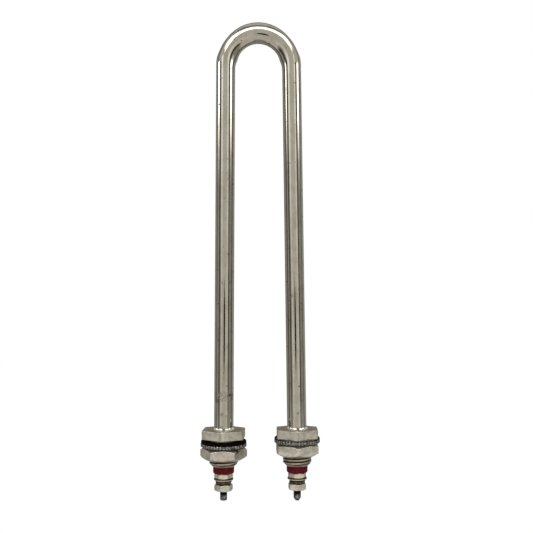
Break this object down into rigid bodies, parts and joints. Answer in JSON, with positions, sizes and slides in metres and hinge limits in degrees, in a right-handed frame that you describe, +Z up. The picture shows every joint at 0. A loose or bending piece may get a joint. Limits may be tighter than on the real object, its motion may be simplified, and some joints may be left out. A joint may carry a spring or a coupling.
{
  "type": "tubular heating element",
  "caption": "Screw-in U-shaped tubular heating element: bent steel tube, brazed hexagon fittings with gaskets, lock nuts, red end seals and threaded terminal studs.",
  "frame": {"origin": "midway between the two fitting axes, in the plane of the undersides of the hexagon heads, which seals on the tank wall", "axes": "+Z up along the legs towards the U bend, +X from the left leg to the right leg, -Y towards the viewer"},
  "size_m": [0.0587, 0.023, 0.2366],
  "materials": {
    "sheath_steel": "polished stainless tube",
    "plated_steel": "dull nickel plated",
    "braze_metal": "bright filler",
    "black_rubber": "matt",
    "washer_steel": "dark, pressed ribs",
    "red_silicone": "satin",
    "spring_steel": "browned",
    "magnesia": "packed powder",
    "resistance_wire": "wound wire"
  },
  "bodies": {
    "root": {"sheath_tube": "sheath_steel", "magnesia_core": "magnesia", "resistance_coil": "resistance_wire", "left_fitting": "plated_steel", "left_braze_fillet": "braze_metal", "left_gasket": "black_rubber", "left_lock_washer": "washer_steel", "left_lock_nut": "plated_steel", "left_end_seal": "red_silicone", "left_terminal_pin": "plated_steel", "left_base_nut": "plated_steel", "left_terminal_nut": "plated_steel", "left_flat_washer": "plated_steel", "left_spring_washer": "spring_steel", "right_fitting": "plated_steel", "right_braze_fillet": "braze_metal", "right_gasket": "black_rubber", "right_lock_washer": "washer_steel", "right_lock_nut": "plated_steel", "right_end_seal": "red_silicone", "right_terminal_pin": "plated_steel", "right_base_nut": "plated_steel", "right_terminal_nut": "plated_steel", "right_flat_washer": "plated_steel", "right_spring_washer": "spring_steel"}
  },
  "joints": []
}
